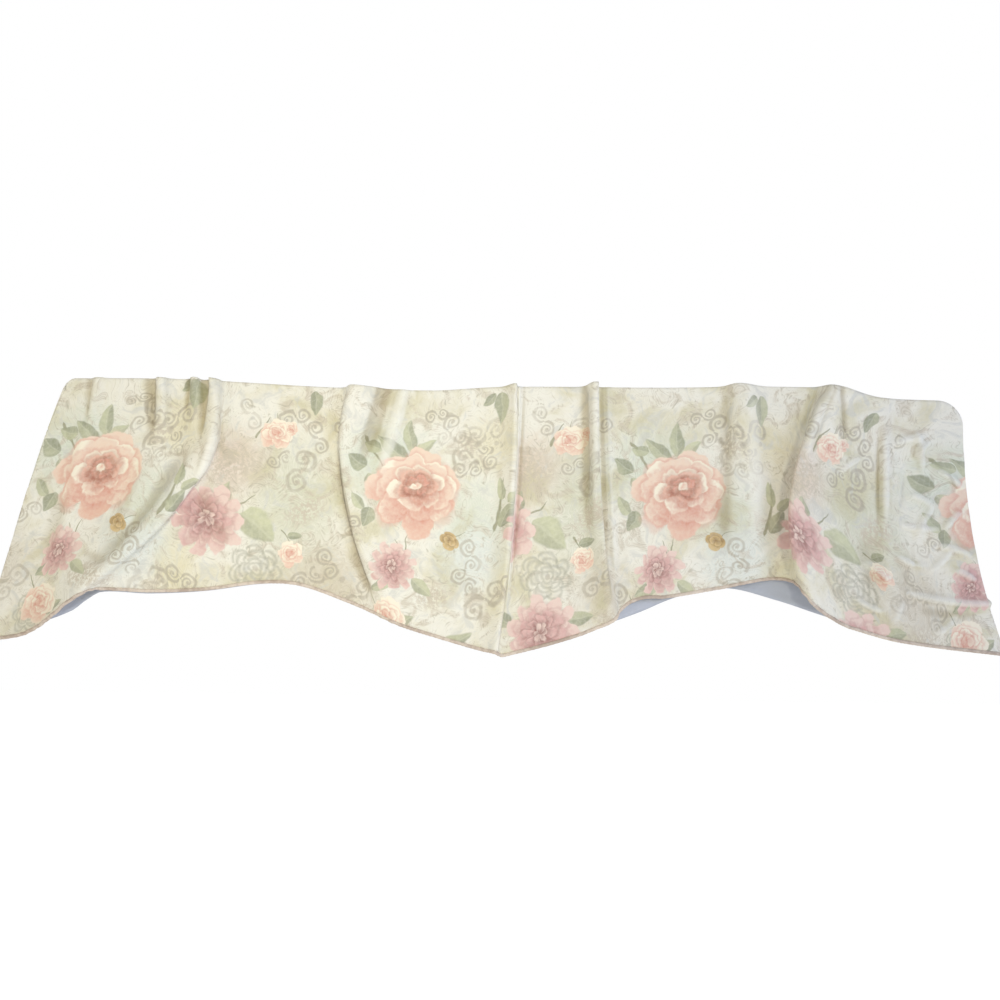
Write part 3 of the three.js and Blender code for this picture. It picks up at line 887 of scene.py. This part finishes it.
# layout of one repeat in metres, across and up from the top edge: turn in degrees, half length, half width
printLayout = {
    "washes": [  # across, up, reach across, reach up, share, dye
        (-0.035, -0.095, 0.085, 0.075, 0.80, "mint wash"), (0.080, -0.175, 0.060, 0.090, 0.65, "mint wash"),
        (0.130, -0.245, 0.045, 0.070, 0.70, "straw wash"), (0.110, -0.060, 0.060, 0.050, 0.60, "straw wash"),
        (0.205, -0.100, 0.075, 0.060, 0.60, "blush wash"), (0.285, -0.150, 0.080, 0.110, 0.65, "sage wash"),
        (0.330, -0.250, 0.090, 0.070, 0.55, "taupe wash"), (0.170, -0.030, 0.050, 0.040, 0.70, "ivory"),
        # a pale cool wash in the print, placed so that it also paints the cool light on the left tail's fold
        # recess
        (0.078, -0.215, 0.062, 0.060, 0.75, "ice wash and painted cool light"),
    ],
    "lace": [
        (0.204, -0.104, 10, 0.052, 0.036), (0.172, -0.088, 40, 0.030, 0.024),
        (0.068, -0.070, 0, 0.022, 0.018), (0.300, -0.158, 30, 0.036, 0.022),
        (0.030, -0.262, 0, 0.034, 0.022), (0.330, -0.300, 0, 0.040, 0.026),
    ],
    "scrolls": [  # as long as wide, then the hand of the curl
        (0.042, -0.046, 60, 0.023, 1), (0.063, -0.068, 100, 0.029, -1), (0.092, -0.050, 12, 0.029, 1),
        (0.096, -0.082, 300, 0.020, -1), (0.070, -0.098, 175, 0.020, 1), (0.028, -0.026, 20, 0.016, -1),
        (0.227, -0.036, 110, 0.021, 1), (0.285, -0.038, 20, 0.022, -1), (0.316, -0.062, 100, 0.021, 1),
        (0.294, -0.106, 72, 0.030, -1), (0.266, -0.094, 200, 0.017, 1), (0.350, -0.044, 40, 0.018, -1),
        (0.076, -0.212, 98, 0.024, 1), (0.098, -0.270, 40, 0.034, -1), (0.070, -0.244, 125, 0.023, 1),
        (0.140, -0.256, 330, 0.022, 1), (0.306, -0.246, 30, 0.026, -1), (0.332, -0.226, 110, 0.021, 1),
        (0.372, -0.268, 60, 0.027, -1), (0.372, -0.176, 200, 0.020, 1),
    ],
    "beads": [  # across, up, radius
        (0.052, -0.058, 0.0045), (0.083, -0.066, 0.0060), (0.106, -0.064, 0.0040),
        (0.080, -0.090, 0.0050), (0.302, -0.084, 0.0055), (0.276, -0.070, 0.0040),
        (0.084, -0.258, 0.0060), (0.118, -0.262, 0.0045), (0.350, -0.246, 0.0050),
        (0.236, -0.238, 0.0050),
    ],
    "engraved": [
        (0.236, -0.238, 15, 0.034, 0.032), (0.410, -0.306, 60, 0.028, 0.026),
    ],
    "stems": [  # as long as wide, then the bow
        (0.247, -0.052, 52, 0.021, 0.10), (0.262, -0.044, 78, 0.012, -0.10),
        (0.266, -0.052, 14, 0.011, 0.12), (0.212, -0.150, 20, 0.026, -0.22),
        (-0.052, -0.084, 300, 0.030, 0.12), (-0.006, -0.196, 84, 0.016, 0.10),
        (-0.016, -0.200, 116, 0.014, -0.10), (0.060, -0.186, 30, 0.012, 0.20),
        (0.276, -0.196, 300, 0.013, 0.1), (0.112, -0.146, 80, 0.036, -0.08),
        (0.236, -0.292, 40, 0.030, 0.15), (-0.050, -0.272, 130, 0.020, 0.1),
    ],
    "leaves": [  # then the darkness
        (-0.005, -0.054, 92, 0.022, 0.0105, 0.50), (-0.029, -0.070, 146, 0.024, 0.0100, 0.62),
        (-0.054, -0.070, 165, 0.013, 0.0085, 0.40), (0.012, -0.070, 38, 0.019, 0.0090, 0.20),
        (-0.074, -0.090, 150, 0.015, 0.0125, 0.95), (-0.060, -0.162, 250, 0.014, 0.0100, 0.90),
        (-0.072, -0.142, 130, 0.015, 0.0080, 0.35), (0.112, -0.020, 270, 0.021, 0.0115, 0.55),
        (0.096, -0.008, 220, 0.011, 0.0070, 0.85), (0.124, -0.162, 60, 0.017, 0.0110, 0.80),
        (0.116, -0.126, 100, 0.016, 0.0080, 0.25), (0.134, -0.140, 45, 0.012, 0.0070, 0.35),
        (0.312, -0.018, 265, 0.016, 0.0095, 0.98), (0.238, -0.184, -38, 0.029, 0.0220, 0.16),
        (0.288, -0.192, 10, 0.011, 0.0065, 0.95), (0.198, -0.140, 75, 0.015, 0.0080, 0.25),
        (-0.040, -0.250, 215, 0.018, 0.0090, 0.55), (0.014, -0.250, 320, 0.017, 0.0090, 0.30),
        (0.060, -0.322, 25, 0.024, 0.0120, 0.60), (0.280, -0.292, 15, 0.021, 0.0110, 0.55),
        (0.176, -0.292, 165, 0.019, 0.0105, 0.75), (-0.010, -0.300, 30, 0.018, 0.0095, 0.60),
        (0.402, -0.118, 300, 0.013, 0.0080, 0.50),
    ],
    "dusty flower": [
        (0.172, -0.178, 20, 0.050, 0.047), (-0.024, -0.226, 70, 0.034, 0.031),
        (0.232, -0.312, 60, 0.052, 0.047),
    ],
    "rosebud": [
        (0.261, -0.062, -10, 0.023, 0.020), (0.283, -0.216, 24, 0.018, 0.017),
        (-0.034, -0.296, -20, 0.031, 0.029), (0.281, -0.053, 60, 0.010, 0.009),
    ],
    "brown bud": [
        (0.048, -0.190, -40, 0.0155, 0.0105),
    ],
    "cabbage rose": [
        (0.000, -0.128, 0, 0.064, 0.058),
    ],
}
flowerLook = {  # how its outline is drawn, where the inner petals shrink to, and the side that is paler
    "cabbage rose": dict(outline="ruffled", hollow=(0.07, 0.20, 0), glow=(0.06, 0.80, 0)),
    "dusty flower": dict(outline="ruffled", hollow=(0.02, 0.06, 0), glow=(0.36, 0.20, 0)),
    "rosebud": dict(outline="frilled", hollow=(0.04, 0.16, 0), glow=(0.25, 0.4, 0)),
    "brown bud": dict(outline="plain", hollow=(0.0, 0.2, 0), glow=(0.1, -0.2, 0)),
}
engravedRings = [(1.0, 7, 0.1), (0.8, 6, 0.5), (0.62, 5, 0.2), (0.44, 4, 0.7), (0.26, 3, 0.4)]
printFinish = {
    "slope": 0.013,  # the print runs down a little to the right
    "outlines": {  # hand-drawn wander: scale, how far, detail
        "drawn": (34.0, 0.010, 2.0), "ruffled": (46.0, 0.016, 3.0), "frilled": (100.0, 0.009, 2.0),
    },
    "clouds": {  # scale, detail, roughness, warp
        "fine": (60.0, 4.0, 0.6, 0.0), "patchy": (13.0, 4.0, 0.6, 0.4), "drifts": (34.0, 4.0, 0.62, 0.9),
        "mottle": (210.0, 3.0, 0.65, 0.0), "streak": (150.0, 3.0, 0.6, 0.6), "curls": (30.0, 1.0, 0.5, 1.6),
    },
    "ground": (0.40, 0.70),
    "washEdge": (0.55, 1.45),
    "washRagged": 0.7,
    "overWashes": [
        ("patchy", (0.52, 0.76, 0.0, 0.7), "olive wash"), ("drifts", (0.52, 0.70, 0.0, 0.62), "taupe wash"),
        ("drifts", (0.30, 0.46, 0.55, 0.0), "grey wash"),
    ],
    "rippleRate": 9.0,
    "tracery": [  # line, where it shows, dye
        ((0.03, 0.13, 1.0, 0.0), "drifts", (0.42, 0.6, 0.06, 0.5), "tracery"),
        ((0.36, 0.5, 0.0, 1.0), "patchy", (0.4, 0.62, 0.55, 0.1), "ivory"),
    ],
    "lace": (0.3, 1.15, 0.8, 0.0),
    "laceFlecks": (0.42, 0.58),
    "bead": (0.5, 1.1, 0.9, 0.0),
    "faded": (0.32, 0.6, 0.26, 0.66),
    "scrollWeight": 0.24,
    "engraved": dict(Weight=0.12, Strength=0.5),
    "stemStrength": 0.8,
    "leafStrength": 0.86,
    "petalStreak": (0.9, -0.40),
    "petalThrow": {"outermost": 0.08, "inner": 0.36},
    "chalk": (0.35, 0.75, 0.0, 0.16),
    "threads": (0.0, 1.0, 0.08, 0.0),
    "threadPitch": 0.0007,
    # painted highlight on crease ridges, then painted shade in crease troughs
    "painted crease highlight": (0.2, 1.0, 0.0, 0.5),
    "painted crease shade": (-1.0, -0.2, 0.9, 0.0),
    "roughness": (0.3, 0.7, 0.66, 0.82),
    "specular": 0.3,
    "sheen": 0.12,
    "sheenRoughness": 0.5,
    "crinkleBump": (0.5, 0.0016),  # strength, distance
    "weaveBump": (0.25, 0.0002),
}


def newCotton(name):
    material = bpy.data.materials.new(name)
    material.use_nodes = True
    tree = material.node_tree
    uv = addNode(tree, "ShaderNodeUVMap", uv_map="cloth").outputs[0]
    return material, tree, tree.nodes["Principled BSDF"].inputs, uv


def bumped(tree, height, strength, distance, under=None):
    bump = addNode(tree, "ShaderNodeBump")
    settings = {"Strength": strength, "Distance": distance, "Height": height, "Normal": under}
    for label, value in settings.items():
        feed(tree, bump.inputs[label], value)
    return bump.outputs[0]


def printedCotton():
    material, tree, surface, uv = newCotton("printedCotton")
    tilt = addNode(tree, "ShaderNodeVectorRotate", rotation_type="Z_AXIS")
    feed(tree, tilt.inputs["Vector"], uv)
    tilt.inputs["Angle"].default_value = math.atan(printFinish["slope"])
    outlines = {"plain": tilt.outputs[0]}
    for name, (scale, far, detail) in printFinish["outlines"].items():
        drift = cloudy(tree, uv, scale, detail)[1]
        drift = vectorStep(tree, "MULTIPLY_ADD", drift, (far, far, 0), (-far / 2, -far / 2, 0))
        outlines[name] = vectorStep(tree, "ADD", outlines["plain"], drift)
    clouds = {name: cloudy(tree, uv, *look)[0] for name, look in printFinish["clouds"].items()}

    def over(share, under, name, blend="MIX"):
        return mixColour(tree, share, under, dyes[name], blend)

    def times(first, second):
        return calc(tree, "MULTIPLY", first, second)

    def spot(outline, across, up, turn, length, width, mark=0):
        return useGroup(
            tree, spotOn, Cloth=outlines[outline], Place=(across, up, 0), Turn=-math.radians(turn),
            Stretch=(1 / length, 1 / width, 1), Mark=(0, 0, mark / markScale),
        )

    def nearestSpot(outline, rows):
        first = spot(outline, *rows[0])
        place, closest = first["Spot"], first["Reach"]
        for row in rows[1:]:
            other = spot(outline, *row)
            place = mixPlace(tree, calc(tree, "LESS_THAN", other["Reach"], closest), place, other["Spot"])
            closest = calc(tree, "MINIMUM", closest, other["Reach"])
        return place

    def evenSpot(rows):  # spots as long as they are wide
        return nearestSpot("drawn", [(*row[:4], row[3], row[4]) for row in rows])

    # ground washes
    colour = over(remap(tree, clouds["patchy"], *printFinish["ground"]), dyes["ivory"], "cream")
    for across, up, reachAcross, reachUp, share, name in printLayout["washes"]:
        reach = spot("frilled", across, up, 0, reachAcross, reachUp)["Reach"]
        reach = calc(tree, "MULTIPLY_ADD", clouds["fine"], printFinish["washRagged"], reach)
        colour = over(remap(tree, reach, *printFinish["washEdge"], share, 0.0), colour, name)
    for cloud, span, name in printFinish["overWashes"]:
        colour = over(remap(tree, clouds[cloud], *span), colour, name)

    # faded tracery over the whole ground
    ripple = calc(tree, "FRACT", times(clouds["curls"], printFinish["rippleRate"]))
    ripple = calc(tree, "ABSOLUTE", calc(tree, "SUBTRACT", ripple, 0.5))
    for line, cloud, span, name in printFinish["tracery"]:
        shown = remap(tree, clouds[cloud], *span)
        colour = over(times(remap(tree, ripple, *line), shown), colour, name)

    # drawn motifs
    reach = vectorStep(tree, "LENGTH", nearestSpot("drawn", printLayout["lace"]))
    flecks = remap(tree, clouds["mottle"], *printFinish["laceFlecks"])
    colour = over(times(remap(tree, reach, *printFinish["lace"]), flecks), colour, "taupe wash")
    faded = remap(tree, clouds["patchy"], *printFinish["faded"])
    beads = [(across, up, 0, radius, radius) for across, up, radius in printLayout["beads"]]
    reach = vectorStep(tree, "LENGTH", nearestSpot("drawn", beads))
    colour = over(times(remap(tree, reach, *printFinish["bead"]), faded), colour, "scroll")
    colour = useGroup(
        tree, printScroll, Spot=evenSpot(printLayout["scrolls"]), Weight=printFinish["scrollWeight"],
        Strength=faded, Ink=dyes["scroll"], Under=colour,
    )["Colour"]
    x, y = partsOf(tree, nearestSpot("drawn", printLayout["engraved"]))[:2]
    reach, bearing = polar(tree, x, y)
    for outer, petals, phase in engravedRings:
        colour = useGroup(
            tree, petalLine, Reach=reach, Bearing=bearing, Outer=outer, Petals=petals, Phase=phase,
            Ink=dyes["engraving"], Under=colour, **printFinish["engraved"],
        )["Colour"]
    colour = useGroup(
        tree, printStem, Spot=evenSpot(printLayout["stems"]), Strength=printFinish["stemStrength"],
        Ink=dyes["stem"], Under=colour,
    )["Colour"]
    colour = useGroup(
        tree, printLeaf, Spot=nearestSpot("drawn", printLayout["leaves"]), Wash=clouds["fine"],
        Strength=printFinish["leafStrength"], Dark=dyes["leaf dark"], Light=dyes["leaf pale"],
        Vein=dyes["leaf vein"], Under=colour,
    )["Colour"]

    # flowers, the smallest kind first
    for kind, rings in reversed(flowerRings.items()):
        look = flowerLook[kind]
        place = nearestSpot(look["outline"], printLayout[kind])
        inward = calc(tree, "SUBTRACT", 1.0, vectorStep(tree, "DOT_PRODUCT", place, place))
        hollow = addNode(tree, "ShaderNodeVectorMath", operation="SCALE")
        hollow.inputs[0].default_value = look["hollow"]
        feed(tree, hollow.inputs["Scale"], calc(tree, "MAXIMUM", inward, 0.0))
        x, y = partsOf(tree, vectorStep(tree, "SUBTRACT", place, hollow.outputs[0]))[:2]
        reach, bearing = polar(tree, x, y)
        glow = vectorStep(tree, "DOT_PRODUCT", place, look["glow"])
        streaks = calc(tree, "MULTIPLY_ADD", clouds["streak"], *printFinish["petalStreak"])
        shade = calc(tree, "ADD", glow, streaks)
        for ring, (outer, inner, petals, phase, notch, deep, pale) in enumerate(rings):
            throw = printFinish["petalThrow"]["inner" if ring else "outermost"]
            colour = useGroup(
                tree, petalRing, Reach=reach, Bearing=bearing, Shade=shade, Outer=outer, Inner=inner,
                Petals=petals, Phase=phase, Notch=notch, Throw=throw, Deep=dyes[deep], Pale=dyes[pale],
                Under=colour,
            )["Colour"]

    # chalky wear, threads, and painted highlight on crease ridges and painted shade in crease troughs
    colour = over(remap(tree, clouds["mottle"], *printFinish["chalk"]), colour, "ivory")
    weave = useGroup(tree, clothWeave, Cloth=uv, Pitch=printFinish["threadPitch"])
    colour = over(remap(tree, weave["Tone"], *printFinish["threads"]), colour, "taupe wash", "MULTIPLY")
    creaseShading = addNode(tree, "ShaderNodeAttribute", attribute_name="creaseShading").outputs["Fac"]
    colour = over(remap(tree, creaseShading, *printFinish["painted crease highlight"]), colour, "painted crease highlight")
    colour = over(remap(tree, creaseShading, *printFinish["painted crease shade"]), colour, "painted crease shade", "MULTIPLY")
    feed(tree, surface["Base Color"], colour)
    feed(tree, surface["Roughness"], remap(tree, clouds["fine"], *printFinish["roughness"]))
    surface["Specular IOR Level"].default_value = printFinish["specular"]
    surface["Sheen Weight"].default_value = printFinish["sheen"]
    surface["Sheen Roughness"].default_value = printFinish["sheenRoughness"]
    crinkled = bumped(tree, clouds["fine"], *printFinish["crinkleBump"])
    feed(tree, surface["Normal"], bumped(tree, weave["Height"], *printFinish["weaveBump"], crinkled))
    return material


plainFinish = {
    "broad": (14.0, 3.0, 0.6),  # scale, detail, share
    "fine": (160.0, 3.0, 0.4),
    "tones": (0.35, 0.65),
    "threads": (0.0, 1.0, 0.18, 0.0),
    "roughness": (0.3, 0.7, 0.74, 0.88),
    "specular": 0.25,
    "weaveBump": (0.35, 0.0002),
    "lining": dict(deep=(186, 191, 202), pale=(194, 198, 208), pitch=0.0006),
    "piping": dict(deep=(186, 168, 154), pale=(226, 213, 198), pitch=0.0005),
}


def plainCotton(name, deep, pale, pitch):  # woven cotton in two close tones
    material, tree, surface, uv = newCotton(name)
    broad, fine = (cloudy(tree, uv, *plainFinish[cloud][:2])[0] for cloud in ("broad", "fine"))
    weave = useGroup(tree, clothWeave, Cloth=uv, Pitch=pitch)
    broadShare = calc(tree, "MULTIPLY", broad, plainFinish["broad"][2])
    share = calc(tree, "ADD", broadShare, calc(tree, "MULTIPLY", fine, plainFinish["fine"][2]))
    colour = mixColour(tree, remap(tree, share, *plainFinish["tones"]), dye(*deep), dye(*pale))
    shaded = remap(tree, weave["Tone"], *plainFinish["threads"], soft=False)
    feed(tree, surface["Base Color"], mixColour(tree, shaded, colour, dye(*deep)))
    feed(tree, surface["Roughness"], remap(tree, fine, *plainFinish["roughness"]))
    surface["Specular IOR Level"].default_value = plainFinish["specular"]
    feed(tree, surface["Normal"], bumped(tree, weave["Height"], *plainFinish["weaveBump"]))
    return material


faceObject.data.materials.append(printedCotton())
liningObject.data.materials.append(plainCotton("liningCotton", **plainFinish["lining"]))
pipingObject.data.materials.append(plainCotton("pipingCotton", **plainFinish["piping"]))
print("materials made")

for piece, node, slotName in (
    (faceObject, "face_cloth", "printed_cotton"),
    (liningObject, "lining", "lining_cotton"),
    (pipingObject, "hem_piping", "piping_cotton"),
):
    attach(piece, "root")
    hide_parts(node)

# floor, light and air
studio = {
    "floorDrop": -1.05,
    "floorSize": 9.0,
    "floorColour": (0.9, 0.9, 0.89, 1),
    "floorRoughness": 0.9,
    "floorGlow": 0.9,
    "floorBounce": 0.38,
    "air": 0.40,
    "airColour": (0.96, 0.97, 0.95, 1),
    "white": (1, 1, 1, 1),
    "lamps": {
        "roomLight": dict(  # warm, from the front, and it fades towards the right tail
            power=548.0, colour=(1.0, 0.955, 0.75), place=(0.9, -5.0, 0.9), aim=(-0.185, 0, -0.15),
            size=0.5, cone=16.2,
        ),
        "windowLight": dict(  # cool, along the cloth from the right
            power=16.0, colour=(0.55, 0.66, 1.0), place=(1.6, -1.7, 0.7), aim=(0.45, 0, -0.15), size=0.9,
        ),
        "fillLight": dict(  # warm and weak, into the shaded sides of the folds
            power=6.2, colour=(1.0, 0.9, 0.7), place=(-1.8, -1.6, 0.2), aim=(0.15, 0, -0.15), size=1.2,
        ),
        "backLight": dict(  # only reaches the lining
            power=16.0, colour=(0.97, 0.98, 1.0), place=(-1.9, 1.6, 0.7), aim=(0, 0, -0.15), size=1.2,
        ),
    },
}
bm = bmesh.new()
bmesh.ops.create_grid(bm, x_segments=1, y_segments=1, size=studio["floorSize"] / 2)
bmesh.ops.translate(bm, vec=(0, 0, studio["floorDrop"]), verts=bm.verts)
floor = meshObject("floor", bm)
floorPaint = bpy.data.materials.new("floorPaint")
floorPaint.use_nodes = True
floorTree = floorPaint.node_tree
floorSurface = floorTree.nodes["Principled BSDF"].inputs
floorSurface["Base Color"].default_value = studio["floorColour"]
floorSurface["Roughness"].default_value = studio["floorRoughness"]
floorSurface["Emission Color"].default_value = studio["white"]
seenFloor = addNode(floorTree, "ShaderNodeLightPath").outputs["Is Camera Ray"]  # seen white, but a weak lamp
floorLight = remap(floorTree, seenFloor, 0.0, 1.0, studio["floorBounce"], studio["floorGlow"], soft=False)
feed(floorTree, floorSurface["Emission Strength"], floorLight)
floor.data.materials.append(floorPaint)


def addLamp(name, power, colour, place, aim, size, cone=None):  # a spot where it has a cone, or else a disk
    data = bpy.data.lights.new(name, "SPOT" if cone else "AREA")
    data.energy, data.color = power, colour
    if cone:
        data.spot_size, data.spot_blend, data.shadow_soft_size = math.radians(cone), 1.0, size
    else:
        data.shape, data.size = "DISK", size
    lamp = bpy.data.objects.new(name, data)
    lamp.location = place
    lamp.rotation_euler = (Vector(aim) - Vector(place)).to_track_quat("-Z", "Y").to_euler()
    bpy.context.scene.collection.objects.link(lamp)


for name, lamp in studio["lamps"].items():
    addLamp(name, **lamp)
world = bpy.data.worlds.new("paleRoom")
world.use_nodes = True
bpy.context.scene.world = world
worldTree = world.node_tree
air = worldTree.nodes["Background"]
air.inputs["Color"].default_value = studio["airColour"]
air.inputs["Strength"].default_value = studio["air"]
paper = addNode(worldTree, "ShaderNodeBackground")
paper.inputs["Color"].default_value = studio["white"]
mixer = addNode(worldTree, "ShaderNodeMixShader")
feed(worldTree, mixer.inputs[0], addNode(worldTree, "ShaderNodeLightPath").outputs["Is Camera Ray"])
feed(worldTree, mixer.inputs[1], air.outputs[0])
feed(worldTree, mixer.inputs[2], paper.outputs[0])
feed(worldTree, worldTree.nodes["World Output"].inputs[0], mixer.outputs[0])
bpy.context.scene.view_settings.view_transform = "Standard"
print("floor and light set")
